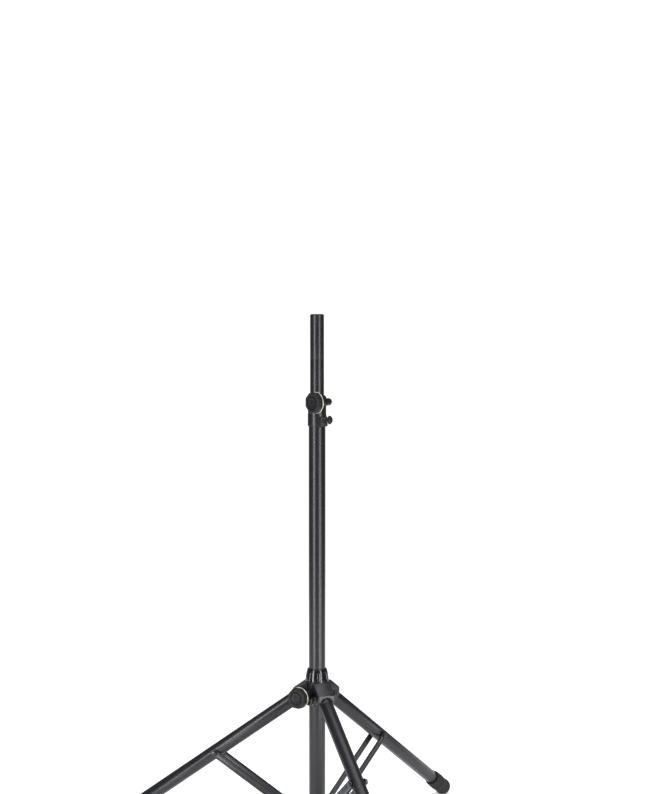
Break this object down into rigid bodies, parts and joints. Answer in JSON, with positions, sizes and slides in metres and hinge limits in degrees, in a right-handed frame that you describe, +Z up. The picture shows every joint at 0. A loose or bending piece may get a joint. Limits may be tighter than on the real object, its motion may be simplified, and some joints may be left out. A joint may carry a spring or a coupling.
{
  "type": "speaker tripod stand",
  "caption": "Speaker tripod stand: a 35 mm pole slides in a clamped column on a hub with folding braced tube legs, screw knobs and a spring pull pin.",
  "frame": {"origin": "on the floor, on the pole's axis, with the tripod spread", "axes": "+Z up along the pole; the front leg points along -Y, the other two along 30 and 150 degrees from +X"},
  "size_m": [1.0244, 0.893, 1.3656],
  "materials": {
    "tube_black": "satin black powder coat",
    "brace_black": "satin black powder coat on flat strip",
    "cast_black": "fine-textured black coat on castings",
    "bell_gloss": "high-gloss black moulding",
    "pin_knob_gloss": "gloss black moulding",
    "knob_rubber": "soft-touch dark grey",
    "knob_cap_matte": "matt dark grey",
    "ring_lime": "pale lime moulding",
    "foot_rubber": "matt black rubber",
    "nylon_black": "self-coloured black nylon",
    "steel_bright": "zinc-plated",
    "steel_blackened": "black zinc-plated steel",
    "rod_chrome": "ground and plated"
  },
  "bodies": {
    "column": {"column_tube": "tube_black", "column_end_cap": "nylon_black", "clamp_collar": "cast_black", "clamp_liner": "nylon_black", "clamp_bolt": "steel_bright", "clamp_washer": "steel_bright", "clamp_dome_nut": "steel_blackened", "clamp_housing": "nylon_black", "collar_screw": "steel_blackened", "pin_housing_bush": "steel_bright", "pin_spring": "steel_bright", "brace_collar": "cast_black", "brace_collar_screws": "steel_blackened", "gas_spring_cylinder": "tube_black", "gas_spring_gland": "steel_bright", "gas_spring_anchor_pin": "steel_bright"},
    "pole": {"pole_tube": "tube_black", "pole_top_cap": "nylon_black", "pole_guide_bush": "nylon_black", "gas_spring_rod": "rod_chrome", "gas_spring_piston": "steel_bright", "rod_cross_pin": "steel_bright"},
    "clamp_knob": {"clamp_knob_grip": "knob_rubber", "clamp_knob_ring": "ring_lime", "clamp_knob_cap": "knob_cap_matte", "clamp_knob_insert": "steel_bright"},
    "safety_pin": {"safety_pin_shaft": "steel_bright", "safety_pin_knob": "pin_knob_gloss"},
    "hub": {"hub_body": "cast_black", "hub_bell": "bell_gloss", "hub_liner": "nylon_black", "hub_pivot_bolts": "steel_blackened", "hub_pivot_nuts": "steel_blackened", "hub_thread_bush": "steel_bright", "hub_clamp_pad": "nylon_black", "hub_bell_screw": "steel_bright"},
    "hub_knob": {"hub_knob_grip": "knob_rubber", "hub_knob_ring": "ring_lime", "hub_knob_cap": "knob_cap_matte", "hub_knob_stud": "steel_bright"},
    "leg_front": {"leg_front_tube": "tube_black", "leg_front_knuckle": "cast_black", "leg_front_foot": "foot_rubber", "brace_bolt_front": "steel_blackened"},
    "brace_front": {"brace_front": "brace_black", "brace_pin_front": "steel_blackened"},
    "leg_right": {"leg_right_tube": "tube_black", "leg_right_knuckle": "cast_black", "leg_right_foot": "foot_rubber", "brace_bolt_right": "steel_blackened"},
    "brace_right": {"brace_right": "brace_black", "brace_pin_right": "steel_blackened"},
    "leg_left": {"leg_left_tube": "tube_black", "leg_left_knuckle": "cast_black", "leg_left_foot": "foot_rubber", "brace_bolt_left": "steel_blackened"},
    "brace_left": {"brace_left": "brace_black", "brace_pin_left": "steel_blackened"}
  },
  "joints": [
    {"name": "tripod_fold", "type": "slide", "parent": "column", "child": "hub", "axis": [0, 0, 1], "range_m": [0, 0.2251]},
    {"name": "pole_slide", "type": "slide", "parent": "column", "child": "pole", "axis": [0, 0, 1], "range_m": [0, 0.475]},
    {"name": "clamp_knob_turn", "type": "hinge", "parent": "column", "child": "clamp_knob", "pos_m": [0.00874, -0.02692, 1.146], "axis": [-0.9511, -0.309, 0], "range_deg": [0, 360]},
    {"name": "safety_pin_pull", "type": "slide", "parent": "column", "child": "safety_pin", "axis": [0.848, -0.5299, 0], "range_m": [0, 0.004], "stiffness_N_per_m": 1500, "deforming": ["pin_spring"]},
    {"name": "hub_knob_turn", "type": "hinge", "parent": "hub", "child": "hub_knob", "pos_m": [-0.06062, -0.035, 0.39865], "axis": [-0.866, -0.5, 0], "range_deg": [0, 360]},
    {"name": "leg_front_hinge", "type": "hinge", "parent": "hub", "child": "leg_front", "pos_m": [0, -0.045, 0.39165], "axis": [1, 0, 0], "range_deg": [0, 50.5]},
    {"name": "brace_front_hinge", "type": "hinge", "parent": "leg_front", "child": "brace_front", "pos_m": [0, -0.26481, 0.23486], "axis": [1, 0, 0], "range_deg": [-101, 0]},
    {"name": "leg_right_hinge", "type": "hinge", "parent": "hub", "child": "leg_right", "pos_m": [0.03897, 0.0225, 0.39165], "axis": [-0.5, 0.866, 0], "range_deg": [0, 50.5]},
    {"name": "brace_right_hinge", "type": "hinge", "parent": "leg_right", "child": "brace_right", "pos_m": [0.22933, 0.13241, 0.23486], "axis": [-0.5, 0.866, 0], "range_deg": [-101, 0]},
    {"name": "leg_left_hinge", "type": "hinge", "parent": "hub", "child": "leg_left", "pos_m": [-0.03897, 0.0225, 0.39165], "axis": [-0.5, -0.866, 0], "range_deg": [0, 50.5]},
    {"name": "brace_left_hinge", "type": "hinge", "parent": "leg_left", "child": "brace_left", "pos_m": [-0.22933, 0.13241, 0.23486], "axis": [-0.5, -0.866, 0], "range_deg": [-101, 0]}
  ],
  "couplings": [
    {"joint": "leg_front_hinge", "follows": "tripod_fold", "rad_per_m": 3.9155},
    {"joint": "brace_front_hinge", "follows": "tripod_fold", "rad_per_m": -7.831},
    {"joint": "leg_right_hinge", "follows": "tripod_fold", "rad_per_m": 3.9155},
    {"joint": "brace_right_hinge", "follows": "tripod_fold", "rad_per_m": -7.831},
    {"joint": "leg_left_hinge", "follows": "tripod_fold", "rad_per_m": 3.9155},
    {"joint": "brace_left_hinge", "follows": "tripod_fold", "rad_per_m": -7.831}
  ]
}
